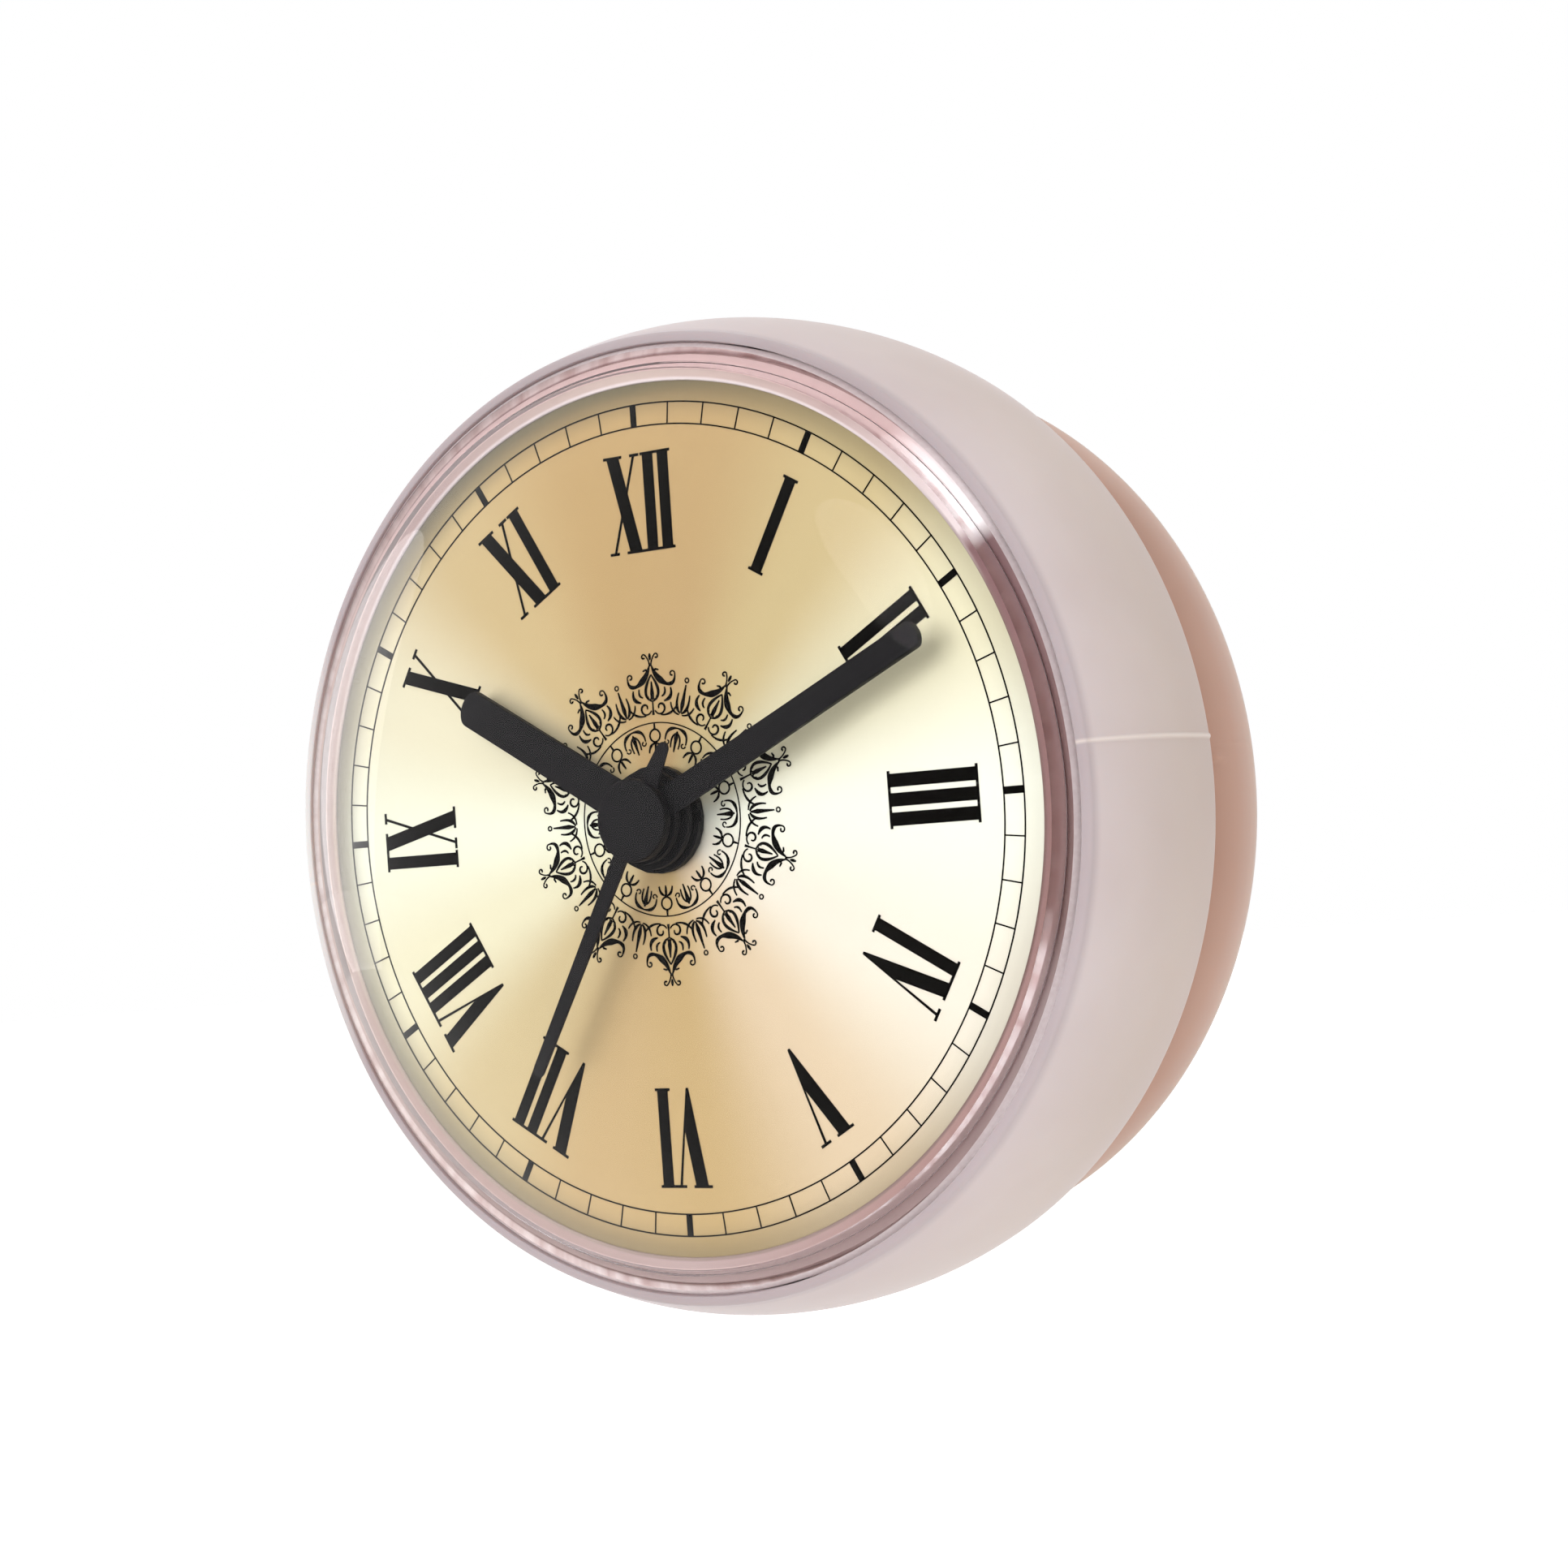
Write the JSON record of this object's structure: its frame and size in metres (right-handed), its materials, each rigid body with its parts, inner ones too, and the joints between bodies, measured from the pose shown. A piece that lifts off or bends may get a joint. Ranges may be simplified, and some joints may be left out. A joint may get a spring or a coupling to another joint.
{
  "type": "shower clock",
  "caption": "Round quartz shower clock: a domed clear lens over a gold dial with hour, minute and second hands, in a soft silicone case with a suction-cup back.",
  "frame": {"origin": "on the clock's axis in the plane of the suction cup's rim, so on the surface that the clock is stuck to", "axes": "+Y along the clock's axis into the wall, so the dial faces -Y; +Z towards 12 o'clock; +X towards 3 o'clock"},
  "size_m": [0.072, 0.0317, 0.072],
  "materials": {
    "silicone": "satin, translucent pinkish beige silicone",
    "clear_plastic": "clear, polished",
    "gold_plate": "champagne gold, brushed round the centre, black print",
    "black_enamel": "matte black",
    "mauve_plastic": "satin mauve brown",
    "seal_rubber": "matte black",
    "black_plastic": "matte black",
    "white_plastic": "white, slightly glossy",
    "magnet": "dark grey sintered magnet",
    "soft_iron": "dull stamped iron",
    "copper_wire": "enamelled copper wire",
    "board": "green solder mask",
    "steel": "nickel-plated steel"
  },
  "bodies": {
    "case": {"silicone_case": "silicone"},
    "core": {"core_housing": "mauve_plastic", "movement_cover": "white_plastic", "coil_core": "soft_iron", "coil": "copper_wire", "stator": "soft_iron", "chip": "black_plastic", "quartz_crystal": "steel", "circuit_board": "board", "contact_positive": "steel", "contact_negative": "steel", "movement_base": "black_plastic", "screw_left": "steel", "screw_right": "steel", "button_cell": "steel", "dial": "gold_plate", "fixing_nut": "black_enamel", "lens_seal": "seal_rubber", "lens": "clear_plastic"},
    "door": {"battery_door": "mauve_plastic", "door_seal": "seal_rubber"},
    "seconds": {"seconds_wheel": "white_plastic", "second_hand": "black_enamel"},
    "third": {"third_wheel": "white_plastic"},
    "minutes": {"centre_wheel": "white_plastic", "minute_hand": "black_enamel"},
    "motion_work": {"minute_wheel": "white_plastic"},
    "hours": {"hour_wheel": "white_plastic", "hour_hand": "black_enamel"},
    "knob": {"setting_knob": "black_plastic"},
    "intermediate": {"intermediate_wheel": "white_plastic"},
    "motor_rotor": {"rotor": "magnet"}
  },
  "joints": [
    {"name": "core_slide", "type": "slide", "parent": "case", "child": "core", "axis": [0, -1, 0], "range_m": [0, 0.014]},
    {"name": "battery_door_turn", "type": "hinge", "parent": "core", "child": "door", "pos_m": [0, -0.0138, -0.0185], "axis": [0, 1, 0], "range_deg": [0, 60]},
    {"name": "second_hand_spin", "type": "hinge", "parent": "core", "child": "seconds", "pos_m": [0, -0.0205, 0], "axis": [0, 1, 0], "continuous": true},
    {"name": "third_wheel_spin", "type": "hinge", "parent": "core", "child": "third", "pos_m": [-0.00601, -0.0205, 0.00601], "axis": [0, 1, 0], "continuous": true},
    {"name": "minute_hand_spin", "type": "hinge", "parent": "core", "child": "minutes", "pos_m": [0, -0.0205, 0], "axis": [0, 1, 0], "continuous": true},
    {"name": "motion_work_spin", "type": "hinge", "parent": "core", "child": "motion_work", "pos_m": [-0.00424, -0.0205, -0.00424], "axis": [0, 1, 0], "continuous": true},
    {"name": "hour_hand_spin", "type": "hinge", "parent": "core", "child": "hours", "pos_m": [0, -0.0205, 0], "axis": [0, 1, 0], "continuous": true},
    {"name": "setting_knob_spin", "type": "hinge", "parent": "core", "child": "knob", "pos_m": [-0.00849, -0.0205, -0.00849], "axis": [0, 1, 0], "continuous": true},
    {"name": "intermediate_wheel_spin", "type": "hinge", "parent": "core", "child": "intermediate", "pos_m": [0.00495, -0.0205, 0.00495], "axis": [0, 1, 0], "continuous": true},
    {"name": "rotor_spin", "type": "hinge", "parent": "core", "child": "motor_rotor", "pos_m": [0.00953, -0.0205, 0.00037], "axis": [0, 1, 0], "continuous": true}
  ],
  "couplings": [
    {"joint": "third_wheel_spin", "follows": "second_hand_spin", "ratio": -0.13333},
    {"joint": "minute_hand_spin", "follows": "second_hand_spin", "ratio": 0.016667},
    {"joint": "motion_work_spin", "follows": "second_hand_spin", "ratio": -0.0055556},
    {"joint": "hour_hand_spin", "follows": "second_hand_spin", "ratio": 0.0013889},
    {"joint": "setting_knob_spin", "follows": "second_hand_spin", "ratio": 0.016667},
    {"joint": "intermediate_wheel_spin", "follows": "second_hand_spin", "ratio": -6},
    {"joint": "rotor_spin", "follows": "second_hand_spin", "ratio": 30}
  ]
}
